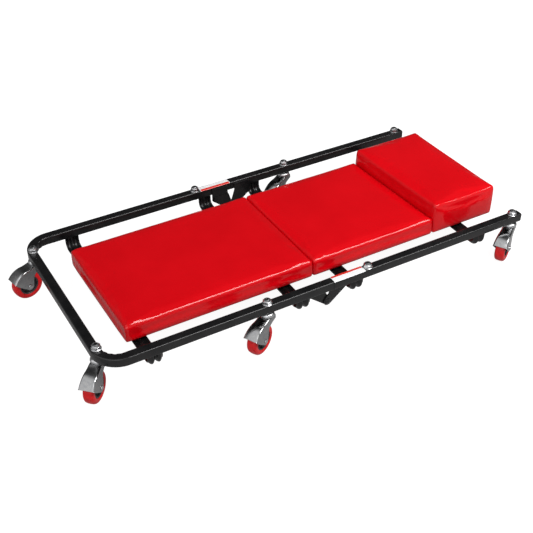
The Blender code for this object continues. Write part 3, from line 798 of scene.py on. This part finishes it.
def cushion_cage(low, high):
    """Box with rounded vertical corners and soft top edges, a little smaller than the space it fills."""
    form = bmesh.new()
    bmesh.ops.create_cube(form, size=1)
    bmesh.ops.scale(form, vec=high - low, verts=form.verts)
    bmesh.ops.translate(form, vec=(high + low) / 2, verts=form.verts)
    upright = [e for e in form.edges if abs(e.verts[0].co.z - e.verts[1].co.z) > MM]
    bmesh.ops.bevel(form, geom=upright, offset=CORNER, segments=5, profile=0.5, affect="EDGES")
    top = [e for e in form.edges if all(abs(v.co.z - high.z) < 1e-6 for v in e.verts)]
    bmesh.ops.bevel(form, geom=top, offset=SOFT_EDGE, segments=4, profile=0.5, affect="EDGES")
    return as_mesh(form)


def inflated(mesh, low, cap):
    """Cloth under pressure, held where it is stapled to the board, and kept within cap of its cage."""
    def remesh(holder):
        step = holder.modifiers.new("remesh", "REMESH")
        step.mode = "VOXEL"
        step.voxel_size = VOXEL

    mesh = with_modifiers(mesh, remesh)
    start = [v.co.copy() for v in mesh.vertices]
    cloth = bpy.data.objects.new("cloth", mesh)
    bpy.context.scene.collection.objects.link(cloth)
    held = cloth.vertex_groups.new(name="held")
    held.add([i for i, co in enumerate(start) if co.z < low.z + HELD], 1.0, "REPLACE")
    step = cloth.modifiers.new("cloth", "CLOTH")
    settings = step.settings
    settings.vertex_group_mass = "held"
    settings.use_pressure = True
    settings.uniform_pressure_force = PRESSURE
    settings.effector_weights.gravity = 0
    settings.tension_stiffness = 40
    settings.compression_stiffness = 40
    settings.bending_stiffness = 2.0
    step.collision_settings.use_collision = False
    scene = bpy.context.scene
    for number in range(1, LAST_FRAME + 1):
        scene.frame_set(number)
    mesh = bpy.data.meshes.new_from_object(
        cloth.evaluated_get(bpy.context.evaluated_depsgraph_get()))
    bpy.data.objects.remove(cloth)
    scene.frame_set(1)
    for vertex, rest in zip(mesh.vertices, start):
        swell = vertex.co - rest
        if swell.length > cap:
            vertex.co = rest + swell * (cap / swell.length)
    return mesh


def cushion(node, crown, low_end, high_end, slump=0.0, askew=lambda along: 0.0):
    """A padded cover. An end that isn't free is kept flat where it meets the next cushion.

    askew gives the share of SKEW that a place takes, from -1 at the foot end to 1 at the head end.
    """
    low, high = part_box(node)
    cage_low = low - Vector((low_end, FREE, 0))
    cage_high = high + Vector((high_end, FREE, 0))
    mesh = inflated(cushion_cage(cage_low, cage_high), cage_low, SWELL)
    middle = (low + high) / 2
    half = (high - low) / 2
    for vertex in mesh.vertices:
        co = vertex.co
        across, along = (co.y - middle.y) / half.y, (co.x - middle.x) / half.x
        height = max(0.0, min(1.0, (co.z - low.z) / (high.z - low.z)))
        dome = max(0.0, 1 - across ** 4) * max(0.0, 1 - along ** 4)
        co.z += crown * dome * height ** 3
        co.z -= slump * max(0.0, -along) ** 14 * height ** 3
        tuck = TUCK * (1 - height) ** 3
        co.y -= tuck * across ** 9
        co.x -= tuck * along ** 9
        ripple = noise.noise(Vector((co.x * 34, co.y * 34, co.z * 60)))
        near_edge = max(abs(across), abs(along)) ** 6
        co.z += RIPPLE * ripple * near_edge * height
        if low_end != FREE:
            co.x = max(co.x, low.x - PLAY)
        if high_end != FREE:
            co.x = min(co.x, high.x + PLAY)
        co.x -= SKEW * askew(along) * max(0.0, 1 + across) / 2

    def refine(holder):
        step = holder.modifiers.new("smooth", "SMOOTH")
        step.factor = 0.5
        step.iterations = 2
        step = holder.modifiers.new("fine", "SUBSURF")
        step.levels = 1
        step.render_levels = 1

    mesh = with_modifiers(mesh, refine)
    obj = piece(f"{node}_cover", mesh, VINYL, "vinyl_red", BODY_OF[node], [node], sharp=80)
    return obj


# ---- assembly -----------------------------------------------------------------------------------------
frame_tubes()
for half in ("foot", "head"):
    for where in ("hinge", "end"):
        crossbar(f"{half}_crossbar_{where}")
hinge_parts()
casters()
plate_bolts()
boards()
labels()
cushion("foot_cushion", 1.2 * MM, FREE, PRESSED, slump=2 * MM)
cushion("back_cushion", 1.2 * MM, PRESSED, PRESSED, askew=lambda along: max(0.0, along) ** 2)
cushion("headrest_cushion", 1.5 * MM, UPRIGHT, FREE, askew=lambda along: (1 - along) / 2)
